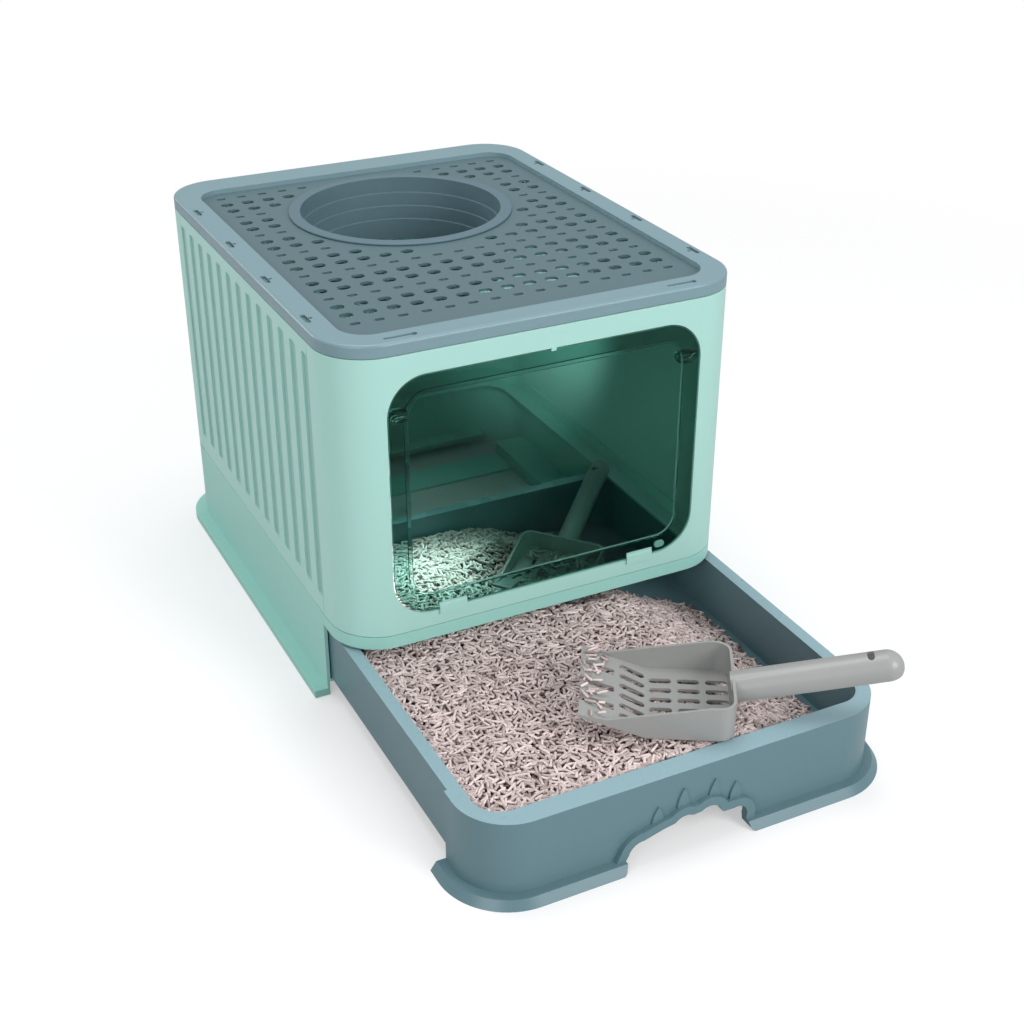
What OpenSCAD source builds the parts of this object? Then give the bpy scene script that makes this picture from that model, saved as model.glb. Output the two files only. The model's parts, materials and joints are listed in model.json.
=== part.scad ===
// Top-entry litter box with a pull-out drawer, all in millimetres.
// Origin at ground level under the middle of the housing, front towards -Y, up +Z.
// The drawer is drawn pulled out by drawer_open and the door is drawn shut.

/* [Housing] */
// Width of the housing over its side walls
body_w = 410; // [360:1:460]
// Depth of the housing over its front and back walls
body_d = 510; // [460:1:560]
// Height of the closed box from the ground to the lid rim
body_h = 385; // [340:1:430]
// Radius of the upright corners
corner_r = 50; // [40:1:60]
// Thickness of the upright wall panels
wall = 3; // [2:0.1:4]
// Height of the seam between base and wall panels
seam_z = 95; // [92:1:110]
// Dark line left open between parts that meet
seam_gap = 0.8; // [0.2:0.1:0.8]
// Distance from the middle to the upright joints between the wall panels
joint_y = 193; // [185:1:200]

/* [Flutes] */
// Number of upright flutes on each side wall
flute_count = 13; // [5:2:13]
// Spacing of the flutes
flute_pitch = 31; // [24:1:31]
// Width of one flute
flute_w = 15; // [4:0.5:20]
// Depth of one flute
flute_depth = 1.8; // [0.6:0.1:1.8]
// Corner radius of a flute end
flute_r = 3; // [1:0.5:6]
// Height where the flutes start
flute_z0 = 115; // [112:1:140]
// Distance of the upper flute ends below the top of the box
flute_top = 25; // [22:1:60]

/* [Base] */
// Underside of the beam across the front of the base
beam_z0 = 82; // [82:0.5:86]
// Thickness of the base walls
base_wall = 2.6; // [2:0.1:3]
// Width of the ledge that covers the drawer rim
ledge_w = 24; // [16:1:30]
// Thickness of that ledge
ledge_t = 3; // [2:0.5:4]
// Height of the rib that locates the wall panels on the base
rib_h = 6; // [4:0.5:10]
// Thickness of locating ribs on base and lid
rib_t = 2; // [1.5:0.1:3]
// How far the foot flange stands out
foot_out = 13; // [8:1:18]
// Thickness of the foot flange
foot_t = 8; // [6:0.5:10]
// Height of the rails that the drawer runs on
rail_z = 18; // [14:0.5:20]
// Width of the rails that the drawer runs on
rail_w = 37; // [25:1:50]
// Thickness of rails and floor ties
rail_t = 3; // [2:0.5:4]
// Width of each tie across the floor
tie_w = 46; // [30:1:60]

/* [Window and door] */
// Distance of the window from either side of the housing
window_side = 47; // [46:0.5:65]
// Underside of the window
window_z0 = 111; // [106:1:120]
// Distance of the window below the top of the box
window_top = 33.5; // [30:0.5:45]
// Corner radius of the window
window_r = 38; // [25:1:40]
// Gap all round the door
door_gap = 1.5; // [1:0.1:3]
// Thickness of the door band and of the door pane
door_t = 2.4; // [2:0.1:3]
// Width of the thicker band round the pane
door_band = 18; // [12:1:24]
// How far the pane sits back behind the band
pane_step = 2; // [1:0.1:2.3]
// Distance of the hinge pins below the top of the window
hinge_drop = 37.5; // [37.5:0.5:45]
// Distance of the hinge pins behind the front face
hinge_in = 9.5; // [9:0.5:11]
// Diameter of a hinge pin
pin_d = 5; // [3:0.5:6]
// Length of a hinge pin
pin_l = 33; // [26:1:36]
// Gap between a hinge pin and the door eye round it
pin_gap = 0.3; // [0.2:0.05:0.5]
// Width of the two stop tabs under the door
tab_w = 28; // [16:1:40]
// How far the stop tabs reach down over the front panel
tab_h = 4; // [3:0.5:8]
// Distance of the middle of a stop tab from the side of the window
tab_in = 58; // [48:1:70]

/* [Lid] */
// Height of the lid rim
lid_h = 12; // [10:0.5:16]
// Thickness of the lid top
lid_t = 3; // [2:0.1:3.5]
// Radius along the outer edge of the lid
lid_edge_r = 3; // [1:0.5:4]
// Width of the lid rim at the sides and the front
rim_w = 24; // [20:1:30]
// Width of the lid rim at the back
rim_back = 39; // [24:1:50]
// Corner radius of the sunken sieve panel
sieve_r = 28; // [20:1:40]
// Depth of the sieve panel below the rim
sieve_drop = 5; // [3:0.5:6]
// Thickness of the sieve panel
sieve_t = 2.6; // [2:0.1:3]
// Width of the lip that carries the sieve panel
lip_w = 6; // [4:0.5:10]
// Columns of sieve holes
hole_cols = 15; // [9:2:15]
// Rows of sieve holes
hole_rows = 19; // [9:1:19]
// Distance of the outer hole columns from the sides of the sieve panel
hole_x0 = 22.8; // [20:0.1:30]
// Length of a sieve hole
hole_l = 13; // [8:0.5:14]
// Width of a large sieve hole
hole_w = 10.5; // [6:0.5:11]
// Width of a small sieve hole
hole_w_small = 5.5; // [3:0.5:7]
// Length of a small sieve hole
hole_l_small = 10; // [6:0.5:13]
// Distance of the first hole row from the front edge of the sieve panel
hole_y0 = 41; // [30:1:50]
// Distance of the last hole row from the rear edge of the sieve panel
hole_y1 = 19; // [16:1:30]

/* [Entry] */
// Radius of the round entry
entry_r = 104; // [85:1:108]
// Distance of the entry centre behind the middle of the box
entry_y = 83; // [70:1:90]
// Width of the soft ring round the entry
entry_ring_w = 12; // [8:0.5:14]
// Height of that ring above the sieve panel
entry_ring_h = 2.4; // [1.6:0.2:5]
// Length of the collar wall inside the box
collar_h = 66; // [40:2:90]
// Wall of the collar
collar_t = 3; // [2:0.5:4]

/* [Drawer] */
// How far the drawer is pulled out
drawer_open = 271; // [0:1:271]
// Height of the drawer rim
drawer_rim_z = 79; // [60:0.5:79]
// How much narrower than the housing the front block is on each side
block_in = 2; // [0:0.5:4]
// Radius of the front corners of the drawer
drawer_r = 50; // [36:1:52]
// Depth of the full-width front block
block_d = 66; // [60:1:66]
// Wall of the drawer
drawer_wall = 2.8; // [2:0.1:3.4]
// Gap between drawer and base side walls
drawer_gap = 2.4; // [1.2:0.1:3]
// Width of the rim at the sides and the back
side_rim = 12; // [10:0.5:16]
// Width of the rim at the front
front_rim = 20; // [16:1:26]
// How far the inner front wall leans back
front_lean = 31; // [15:1:35]
// Corner radius of the basin
basin_r = 24; // [12:1:30]
// Height of the drawer foot flange
drawer_foot_t = 8; // [6:0.5:12]
// How far the drawer foot flange stands out at the ground
drawer_foot_out = 14; // [10:0.5:16]
// Width of the raised band round the finger cut-out
arch_w = 8.3; // [5:0.1:9]
// How far that band stands out
arch_out = 5; // [3:0.5:7]
// Rounding of the feet of the finger cut-out
paw_edge_r = 5; // [2:0.5:6]
// How far the claw marks stand out
claw_out = 1.8; // [0.6:0.1:2.5]
// Size of the finger cut-out and its pads against full size
paw_scale = 1; // [0.8:0.05:1]

/* [Litter] */
// Height of the litter at the left and the front
litter_z = 71; // [50:1:71]
// Height of the litter heap under the scoop
heap_z = 80; // [60:1:80]
// Height of the litter along the right wall
litter_low = 23; // [22.6:0.1:40]

/* [Scoop] */
// Width of the scoop
scoop_w = 104.7; // [80:0.1:110]
// Length of the flat pan
scoop_pan = 76; // [60:1:80]
// Length of the ramp in front of the pan
scoop_ramp = 34; // [25:1:40]
// Rise of the ramp
scoop_rise = 11.5; // [6:0.5:16]
// Length of the tines
scoop_tine = 24; // [12:1:28]
// Height of the scoop back wall
scoop_h = 32.5; // [26:0.5:36]
// Radius of the rear corners of the scoop
scoop_r = 15; // [8:1:18]
// Length of a slot in the pan of the scoop
pan_slot = 20; // [12:1:21]
// Width of a slot in the pan of the scoop
slot_w = 7; // [4:0.5:8]
// Wall of the scoop
scoop_t = 2.6; // [2:0.1:3]
// Length of the handle
handle_l = 148; // [110:1:150]
// Angle of the handle above the pan
handle_up = 12.4; // [5:0.1:14]
// Radius of the rounded handle
handle_r = 15; // [12:0.5:17]
// Height of the middle of the handle above the pan at the back wall
handle_z = 18.5; // [15:0.5:19]
// Length of the slot in the handle, across it
slot_l = 13; // [6:0.5:16]
// Place of the scoop to the right of the middle of the box
scoop_x = 71; // [60:1:80]
// Distance of the scoop in front of the front wall
scoop_front = 213; // [205:1:220]
// Height of the scoop above the ground
scoop_z = 80.6; // [80.4:0.1:90]
// Turn of the scoop about the upright
scoop_turn = -30.3; // [-34:0.1:-26]
// Width of the second scoop inside the box
scoop2_w = 92; // [70:1:94]
// Length and height of the second scoop against the first
scoop2_k = 0.66; // [0.64:0.01:0.74]
// Turn of the second scoop about the upright
scoop2_turn = 41; // [38:1:43]
// Place of the second scoop to the right of the middle of the drawer
scoop2_x = 86; // [80:1:88]
// Place of the second scoop behind the middle of the drawer
scoop2_y = 139; // [134:1:141]
// Height of the back wall foot of the second scoop above the ground
scoop2_z = 55; // [55:0.5:58]
// Handle length of the second scoop
handle2_l = 121; // [80:1:123]
// Angle of the handle of the second scoop above its pan
handle2_up = 12; // [9:0.5:13]
// Tilt of the second scoop
scoop2_tilt = 9; // [6:0.1:10]

/* [Hidden] */
$fn = 72;
MINT = [0.66, 0.83, 0.80];
MINT_BASE = [0.62, 0.80, 0.77];
SLATE = [0.47, 0.60, 0.64];
SLATE_DARK = [0.42, 0.54, 0.59];
GLASS_GREEN = [0.10, 0.28, 0.26];
SCOOP_GREY = [0.62, 0.62, 0.61];
LITTER = [0.73, 0.68, 0.67];
DARK = [0.16, 0.22, 0.23];
// overlap that joins two solids of one piece
EPS = 0.5;
hw = body_w / 2;
hd = body_d / 2;
lid_z0 = body_h - lid_h;
panel_z0 = seam_z + seam_gap;
panel_z1 = lid_z0 - seam_gap;
rib_in = wall + 0.4;
skirt_y0 = -hd + block_d + 1.5;
ledge_z = beam_z0 + 2;
window_w = body_w - 2 * window_side;
window_z1 = body_h - window_top;
window_h = window_z1 - window_z0;
window_zc = (window_z0 + window_z1) / 2;
door_w = window_w - 2 * door_gap;
door_h = window_h - 2 * door_gap;
door_r = window_r - door_gap;
hinge_y = -hd + hinge_in;
hinge_z = window_z1 - hinge_drop;
flute_z1 = body_h - flute_top;
door_y0 = -hd + 0.5;
eye_r = pin_d / 2 + pin_gap + 2.7;
pin_x = window_w / 2 - 22;
tab_x = window_w / 2 - tab_in;
sieve_w = body_w - 2 * rim_w;
sieve_d = body_d - rim_w - rim_back;
sieve_yc = (rim_w - rim_back) / 2;
sieve_z1 = body_h - sieve_drop;
entry_ring_r = entry_r + entry_ring_w;
hole_dx = (sieve_w - 2 * hole_x0) / (hole_cols - 1);
hole_dy = (sieve_d - hole_y0 - hole_y1) / (hole_rows - 1);
clip_in = 8;
clip_in_front = 11;
clip_y = [-172, -65, 42, 150];
clip_front_x = hw - 66;
// height of the foot of a lid clip, 16 mm under the lid
clip_z0 = lid_z0 - 16;
tray_x = hw - base_wall - drawer_gap;
tray_y1 = hd - base_wall - drawer_gap - 1;
tray_z0 = rail_z + 0.6;
floor_z = tray_z0 + drawer_wall;
basin_w = 2 * (tray_x - side_rim);
basin_y0 = -hd + front_rim;
basin_y1 = tray_y1 - side_rim;
block_y1 = -hd + block_d;
block_w = body_w - 2 * block_in;
tray_r = corner_r - base_wall - drawer_gap;
// middle and radius of the four lobes of the finger cut-out
paw_pads = [[-54, 10, 13.7], [-13, 23, 12.7], [11, 25, 12.2], [39, 15, 11]];
// foot, tilt and height of the claw marks
paw_claws = [[-38.5, 33, 1, 18], [-14, 43, 1, 19], [16.5, 40, 2, 21], [38.5, 34, 0, 17]];

// rounded rectangle about the origin
module rrect(w, d, r) {
    square([w - 2 * r, d], center = true);
    square([w, d - 2 * r], center = true);
    for (x = [-1, 1], y = [-1, 1]) translate([x * (w / 2 - r), y * (d / 2 - r)]) circle(r);
}

// the housing outline moved inwards by t, or outwards where t is negative
module outline(t = 0) rrect(body_w - 2 * t, body_d - 2 * t, corner_r - t);

// ring of the housing outline between two distances from its outer face
module ring(h, t0, t1) linear_extrude(h) difference() {
    outline(t0);
    outline(t1);
}

// keeps what lies behind y0
module behind(y0) intersection() {
    children();
    translate([-body_w, y0, -1]) cube([2 * body_w, 2 * body_d, 2 * body_h]);
}

// keeps what lies in front of y1
module ahead(y1) intersection() {
    children();
    translate([-body_w, y1 - 3 * body_d, -1]) cube([2 * body_w, 3 * body_d, 2 * body_h]);
}

// stadium along X with its length over the ends
module stadium(l, w) {
    square([l - w, w], center = true);
    for (s = [-1, 1]) translate([s * (l - w) / 2, 0]) circle(d = w, $fn = 32);
}

// solid drawn in plan and seen from the front: x to the right, second value up, y0 to y1 deep
module upright(y0, y1) translate([0, y1, 0]) rotate([90, 0, 0]) linear_extrude(y1 - y0) children();

// solid drawn from the side: first value along Y, second value up, x0 to x1 wide
module sideways(x0, x1) translate([x0, 0, 0]) rotate([90, 0, 90]) linear_extrude(x1 - x0) children();

module base_frame() color(MINT_BASE) {
    translate([0, 0, beam_z0]) ring(seam_z - beam_z0, 0, base_wall);
    translate([0, 0, ledge_z]) ring(ledge_t, base_wall - EPS, ledge_w);
    translate([0, 0, ledge_z]) ring(seam_z + rib_h - ledge_z, rib_in, rib_in + rib_t);
    behind(skirt_y0) union() {
        ring(beam_z0 + EPS, 0, base_wall);
        ring(foot_t, -foot_out, EPS);
    }
    for (s = [-1, 1]) {
        // inner return at the front end of the side skirt, below the drawer rim
        translate([s * (hw - base_wall) - 1, skirt_y0, rail_z - EPS])
            cube([2, base_wall, beam_z0 - rail_z + 1]);
        // rail with its inner web
        translate([s * (hw - rail_w / 2 - EPS) - rail_w / 2, skirt_y0, rail_z - rail_t])
            cube([rail_w, hd - corner_r - skirt_y0, rail_t]);
        translate([s * (hw - rail_w - EPS + rail_t / 2) - rail_t / 2, skirt_y0, 0])
            cube([rail_t, hd - corner_r - skirt_y0, rail_z]);
    }
    // ties across the floor
    for (y = [skirt_y0, -tie_w / 2, hd - corner_r - tie_w])
        translate([-hw + rail_w, y, 0]) cube([body_w - 2 * rail_w, tie_w, rail_t]);
    // rear rail
    translate([-hw + rail_w, hd - base_wall - rail_w / 2 + EPS, rail_z - rail_t])
        cube([body_w - 2 * rail_w, rail_w / 2, rail_t]);
}

module panel_ring() translate([0, 0, panel_z0]) ring(panel_z1 - panel_z0, 0, wall);

module front_panel() color(MINT) {
    difference() {
        ahead(-joint_y - seam_gap / 2) panel_ring();
        translate([0, 0, window_zc]) upright(-hd - 1, -hd + corner_r / 2) rrect(window_w, window_h, window_r);
    }
    // lugs that hold the hinge pins
    for (s = [-1, 1]) difference() {
        translate([s * (window_w / 2 + 5.5) - 5, -hd + wall - EPS, hinge_z - eye_r])
            cube([10, hinge_in - wall + EPS + eye_r, 2 * eye_r]);
        translate([0, hinge_y, hinge_z]) rotate([0, 90, 0])
            cylinder(d = pin_d + 0.1, h = body_w, center = true);
    }
    // small tab over the top edge of the door
    translate([0, -hd - 0.8, window_z1 - 2.5]) cube([5, 1, 3.5]);
}

module back_panel() color(MINT) behind(joint_y + seam_gap / 2) panel_ring();

module side_panel() {
    difference() {
        translate([hw - wall, -joint_y + seam_gap / 2, panel_z0])
            cube([wall, 2 * joint_y - seam_gap, panel_z1 - panel_z0]);
        for (i = [0 : flute_count - 1]) translate([0, (i - (flute_count - 1) / 2) * flute_pitch, 0])
            sideways(hw - flute_depth, hw + 1) translate([0, (flute_z0 + flute_z1) / 2])
                rrect(flute_w, flute_z1 - flute_z0, min(flute_r, flute_w / 2));
    }
}

module left_panel() color(MINT) mirror([1, 0, 0]) side_panel();

module right_panel() color(MINT) side_panel();

module door() color(GLASS_GREEN) {
    // band round the edge
    translate([0, 0, window_zc]) upright(door_y0, door_y0 + door_t) difference() {
        rrect(door_w, door_h, door_r);
        rrect(door_w - 2 * door_band, door_h - 2 * door_band, door_r - door_band + 2);
    }
    // pane set back behind the band
    translate([0, 0, window_zc]) upright(door_y0 + pane_step, door_y0 + pane_step + door_t)
        rrect(door_w - 2 * door_band + 6, door_h - 2 * door_band + 6, door_r - door_band + 5);
    for (s = [-1, 1]) {
        // stop tabs that rest on the front panel
        translate([s * tab_x - tab_w / 2, -hd - 1.8, window_z0 - tab_h]) cube([tab_w, 1.5, 2 * tab_h + 1]);
        translate([s * tab_x - tab_w / 2, -hd - 1, window_z0 + 3]) cube([tab_w, 2, 5]);
        // round bosses over the ends of the hinge
        translate([s * (door_w / 2 - 5.5), 0, hinge_z])
            upright(door_y0 - 1.2, door_y0 + EPS) circle(d = 8, $fn = 32);
        // hinge eyes
        difference() {
            union() {
                translate([s * (pin_x + 8) - 6, hinge_y, hinge_z])
                    rotate([0, 90, 0]) cylinder(r = eye_r, h = 12);
                translate([s * (pin_x + 8) - 6, door_y0 + door_t - EPS, hinge_z - eye_r])
                    cube([12, hinge_in - door_t, 2 * eye_r]);
            }
            translate([0, hinge_y, hinge_z]) rotate([0, 90, 0])
                cylinder(d = pin_d + 2 * pin_gap, h = body_w, center = true);
        }
    }
}

// pin through a door eye and a lug of the front panel
module hinge_pin(s) translate([s * (pin_x + pin_l / 2) - pin_l / 2, hinge_y, hinge_z])
    rotate([0, 90, 0]) cylinder(d = pin_d, h = pin_l);

module hinge_pin_left() color(SLATE_DARK) hinge_pin(-1);

module hinge_pin_right() color(SLATE_DARK) hinge_pin(1);

// finger catch on the lower right of the door band
module door_catch() color(SLATE_DARK)
    translate([tab_x + tab_w / 2 + 8, 0, window_z0 + door_gap + door_band / 2])
        upright(door_y0 - 2.5, door_y0) stadium(11, 7);

module sieve_outline(t) translate([0, sieve_yc]) rrect(sieve_w - 2 * t, sieve_d - 2 * t, sieve_r - t);

module lid_slots() {
    for (s = [-1, 1]) {
        for (y = clip_y) translate([s * (hw - clip_in), y]) {
            rotate(90) stadium(20, 5);
            translate([-2 * s, 0]) stadium(9, 4);
        }
        translate([s * clip_front_x, -hd + clip_in_front]) {
            stadium(30, 3.6);
            translate([13, 0]) circle(3);
        }
    }
}

// lid rim section: x is the distance from the outer face, negative inwards, y is the height
module rim_section(depth) {
    translate([-depth, lid_z0 + lid_h - lid_t]) square([depth - lid_edge_r, lid_t]);
    translate([-wall, lid_z0]) square([wall, lid_h - lid_edge_r]);
    translate([-lid_edge_r - EPS, lid_z0 + lid_h - lid_edge_r - EPS]) square([EPS + 0.1, EPS + lid_edge_r]);
    intersection() {
        translate([-lid_edge_r, lid_z0 + lid_h - lid_edge_r]) circle(lid_edge_r, $fn = 48);
        translate([-lid_edge_r, lid_z0 + lid_h - lid_edge_r]) square(lid_edge_r);
    }
}

// sweeps a section once round a rounded rectangle, outwards to the right and up
module sweep(w, d, r) for (s = [-1, 1]) {
    translate([s * (w / 2 - r), 0, 0]) for (t = [-1, 1]) translate([0, t * (d / 2 - r), 0])
        rotate((s > 0 ? (t > 0 ? 0 : 270) : (t > 0 ? 90 : 180)))
            rotate_extrude(angle = 90) translate([r, 0]) children();
    rotate(s > 0 ? 0 : 180) translate([w / 2, d / 2 - r, 0]) rotate([90, 0, 0])
        linear_extrude(d - 2 * r) children();
    rotate(s > 0 ? 90 : 270) translate([d / 2, w / 2 - r, 0]) rotate([90, 0, 0])
        linear_extrude(w - 2 * r) children();
}

module lid_frame() color(SLATE) {
    sweep(body_w, body_d, corner_r) rim_section(rib_in);
    difference() {
        translate([0, 0, body_h - lid_t]) linear_extrude(lid_t) difference() {
            outline(lid_edge_r);
            sieve_outline(0);
        }
        translate([0, 0, body_h - lid_t - 1]) linear_extrude(lid_t + 2) lid_slots();
    }
    // rib that locates the lid inside the wall panels
    translate([0, 0, lid_z0 - 7]) ring(lid_h + 7 - lid_t + EPS, rib_in, rib_in + rib_t);
    // edge and lip that carry the sieve panel
    translate([0, 0, sieve_z1 - sieve_t - 3]) linear_extrude(body_h - sieve_z1 + sieve_t + 3) difference() {
        sieve_outline(-2.5);
        sieve_outline(0);
    }
    translate([0, 0, sieve_z1 - sieve_t - 3]) linear_extrude(2.8) difference() {
        sieve_outline(-1);
        sieve_outline(lip_w);
    }
}

// true where the hole at x, y keeps clear of the entry ring and of the panel edge
function hole_ok(x, y) = norm([x, y - entry_y]) > entry_ring_r + 9
    && abs(x) < sieve_w / 2 - lip_w - 7 && y < sieve_yc + sieve_d / 2 - lip_w - 7;

module sieve_panel() color(SLATE_DARK) translate([0, 0, sieve_z1 - sieve_t]) linear_extrude(sieve_t)
    difference() {
        sieve_outline(0.3);
        translate([0, entry_y]) circle(entry_r + collar_t + 0.3, $fn = 144);
        for (i = [0 : hole_cols - 1], j = [0 : hole_rows - 1]) {
            x = (i - (hole_cols - 1) / 2) * hole_dx;
            y = sieve_yc - sieve_d / 2 + hole_y0 + j * hole_dy;
            if (hole_ok(x, y)) translate([x, y])
                stadium(j % 3 == 0 ? hole_l_small : hole_l, j % 3 == 0 ? hole_w_small : hole_w);
        }
    }

module entry_collar() color(DARK) translate([0, entry_y, 0]) rotate_extrude($fn = 144) {
    // soft ring on top
    translate([entry_r, sieve_z1 + 0.1]) square([entry_ring_w - entry_ring_h / 2, entry_ring_h]);
    translate([entry_ring_r - entry_ring_h / 2, sieve_z1 + 0.1 + entry_ring_h / 2])
        circle(d = entry_ring_h, $fn = 32);
    // wall with two inner steps
    translate([entry_r, sieve_z1 - collar_h]) square([collar_t, collar_h + entry_ring_h / 2]);
    for (i = [1:3]) translate([entry_r - 2 * i, sieve_z1 - collar_h])
        square([2 * i + 1, collar_h * (1 - i / 4.6)]);
}

// T-shaped clip that rises from a wall panel into a slot of the lid
module lid_clip(reach, head, stem, t) {
    translate([-reach, -stem / 2, clip_z0]) cube([reach - wall, stem, 6]);
    translate([-reach - t / 2, -stem / 2, clip_z0]) cube([t, stem, body_h - 3.5 - clip_z0]);
    translate([-reach - t / 2, -head / 2, body_h - 4]) cube([t, head, 2.5]);
}

module side_clip(s, k) color(DARK) scale([s, 1, 1]) translate([hw, clip_y[k], 0])
    lid_clip(clip_in, 15, 6, 3.2);

module front_clip(x) color(DARK) translate([x, -hd, 0]) rotate(-90)
    lid_clip(clip_in_front, 22, 18, 2.2);

module lid_clip_left_1() side_clip(-1, 0);

module lid_clip_left_2() side_clip(-1, 1);

module lid_clip_left_3() side_clip(-1, 2);

module lid_clip_left_4() side_clip(-1, 3);

module lid_clip_right_1() side_clip(1, 0);

module lid_clip_right_2() side_clip(1, 1);

module lid_clip_right_3() side_clip(1, 2);

module lid_clip_right_4() side_clip(1, 3);

module lid_clip_front_left() front_clip(-clip_front_x);

module lid_clip_front_right() front_clip(clip_front_x);

// plan of the drawer front block, t inside its outer face
module block_plan(t) intersection() {
    rrect(block_w - 2 * t, body_d - 2 * t, drawer_r - t);
    translate([-body_w, -2 * body_d]) square([2 * body_w, 2 * body_d + block_y1]);
}

// plan of the tray behind the block, t inside its outer face
module tray_plan(t) intersection() {
    translate([0, tray_y1 - body_d / 2]) rrect(2 * (tray_x - t), body_d - 2 * t, tray_r - t);
    translate([-body_w, block_y1 - 4]) square([2 * body_w, 2 * body_d]);
}

// basin with upright sides, round corners and a leaning front wall, grown by t
module basin(t, z0, z1) {
    slope = front_lean / (drawer_rim_z - floor_z);
    intersection() {
        translate([0, (basin_y0 + basin_y1) / 2, z0]) linear_extrude(z1 - z0)
            rrect(basin_w + 2 * t, basin_y1 - basin_y0 + 2 * t, basin_r + t);
        sideways(-hw, hw) polygon([
            [basin_y0 - t - slope * (z1 - drawer_rim_z), z1],
            [basin_y0 - t + slope * (drawer_rim_z - z0), z0],
            [basin_y1 + 50, z0],
            [basin_y1 + 50, z1]
        ]);
    }
}

// arched finger cut-out with four lobes, seen from the front
module paw() scale([paw_scale, paw_scale]) {
    polygon([[-77, -6], [-67, 14], [-54, 23.5], [-34, 29], [-13, 33],
        [11, 35], [25, 26], [39, 25.5], [49, 15], [52, -6]]);
    for (p = paw_pads) translate([p[0], p[1]]) circle(p[2], $fn = 48);
}

// what the finger cut-out takes away, with rounded cusps and feet
module paw_cut() difference() {
    translate([-hw, -10]) square([body_w, drawer_rim_z]);
    offset(r = paw_edge_r) offset(delta = -paw_edge_r) difference() {
        translate([-body_w, 0]) square([2 * body_w, body_h]);
        paw();
    }
}

// claw mark with its foot at the origin, pointed at the top
module claw(w, h) intersection_for(s = [-1, 1])
    translate([s * (h * h - w * w / 4) / w, 0]) circle((h * h + w * w / 4) / w, $fn = 96);

module drawer_tray() color(SLATE) translate([0, -drawer_open, 0]) {
    difference() {
        union() {
            // skin of the front block
            linear_extrude(drawer_rim_z - EPS) difference() {
                block_plan(0);
                block_plan(drawer_wall);
                translate([-body_w, block_y1 - 3]) square([2 * body_w, body_d]);
            }
            // returns that close the rear of the block beside the basin
            for (s = [-1, 1]) translate([s * (block_w / 2 - 7) - 6.5, block_y1 - 3, 0])
                cube([13, 3, drawer_rim_z - EPS]);
            // foot flange with a sloping edge
            ahead(block_y1) sweep(block_w, body_d, drawer_r) polygon([[-EPS, 0], [drawer_foot_out, 0],
                [0.6 * drawer_foot_out, drawer_foot_t], [-EPS, drawer_foot_t]]);
            // raised band round the finger cut-out
            upright(-hd - arch_out, -hd + EPS) intersection() {
                offset(r = arch_w) paw();
                translate([-hw, 0]) square([body_w, drawer_rim_z]);
            }
        }
        upright(-hd - 2 * drawer_foot_out, -hd + drawer_r / 2) paw_cut();
    }
    // claw marks above the lobes
    for (c = paw_claws * paw_scale) translate([c[0], 0, c[1]]) upright(-hd - claw_out, -hd + EPS)
        rotate(-c[2]) intersection() {
            claw(11.5 * paw_scale, c[3]);
            translate([-10, -1]) square([20, c[3] + 2]);
        }
    // outer skin of the tray
    translate([0, 0, tray_z0]) linear_extrude(drawer_rim_z - EPS - tray_z0) difference() {
        tray_plan(0);
        tray_plan(drawer_wall);
        translate([-tray_x + drawer_wall, block_y1 - 10]) square([2 * (tray_x - drawer_wall), 20]);
    }
    // rim
    difference() {
        translate([0, 0, drawer_rim_z - drawer_wall]) linear_extrude(drawer_wall) union() {
            block_plan(0);
            tray_plan(0);
        }
        basin(0, floor_z, drawer_rim_z + 1);
    }
    // basin
    difference() {
        basin(drawer_wall, tray_z0, drawer_rim_z - EPS);
        basin(0, floor_z, drawer_rim_z + 1);
    }
}

// blend from 0 to 1 as v runs from a to b
function blend(v, a, b) = let (t = min(1, max(0, (v - a) / (b - a)))) t * t * (3 - 2 * t);

// bell of height 1 about the origin
function bell(x, y, rx, ry) = exp(-pow(x / rx, 2) - pow(y / ry, 2));

// distance from the middle of the hollow that the second scoop lies in, 1 at its edge
function hollow_at(x, y) = let (
    u = ((x - scoop2_x) * cos(scoop2_turn) + (y - scoop2_y) * sin(scoop2_turn) + hollow_l) / (hollow_l + 5),
    v = ((y - scoop2_y) * cos(scoop2_turn) - (x - scoop2_x) * sin(scoop2_turn)) / (scoop2_w / 2 + 7)
) pow(pow(u, 4) + pow(v, 4), 0.25);

// height of the litter at x, y of the closed drawer
function litter_at(x, y) = let (
    side = 1 - blend(x + 60 * blend(y, 20, 110), 60, 182),
    level = litter_low + (litter_z - litter_low) * side * (1 - 0.3 * blend(y, 130, 235)),
    hollow = (1 - blend(hollow_at(x, y), 1, 1.6)) * blend(y, 12, 38),
    heap = (heap_z - litter_z) * bell(x - 20, y + 180, 75, 70)
) min(heap_z - 0.05, level - max(0, level - hollow_z) * hollow + heap * (1 + side) / 2);

litter_nx = 24;
litter_ny = 32;
hollow_z = 41.5;
// half the length of the hollow, along the second scoop
hollow_l = scoop2_k * (scoop_pan + scoop_ramp + scoop_tine) / 2;
litter_x = basin_w / 2 - 0.3;
litter_y1 = basin_y1 - 0.3;

// front edge of the litter on the leaning wall at height z
function litter_y0(z) = basin_y0 + 0.5 + front_lean * (drawer_rim_z - z) / (drawer_rim_z - floor_z);

// half width of the litter at y, narrowed round the basin corners
function litter_hw(y) = let (c = max(0, basin_r - min(y - basin_y0, litter_y1 - y)))
    litter_x - basin_r + sqrt(max(0, basin_r * basin_r - c * c));

// one row of points across the litter at its surface
function litter_top(j) = let (
    w = litter_hw(litter_y0(litter_z) * (1 - j / litter_ny) + litter_y1 * j / litter_ny)
) [for (i = [0 : litter_nx]) let (
        x = w * (2 * i / litter_nx - 1),
        z0 = litter_at(x, litter_y0(litter_at(x, litter_y0(litter_z)))),
        y = litter_y0(z0) + (litter_y1 - litter_y0(z0)) * j / litter_ny
    ) [x, y, j == 0 ? z0 : litter_at(x, y)]];

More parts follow.
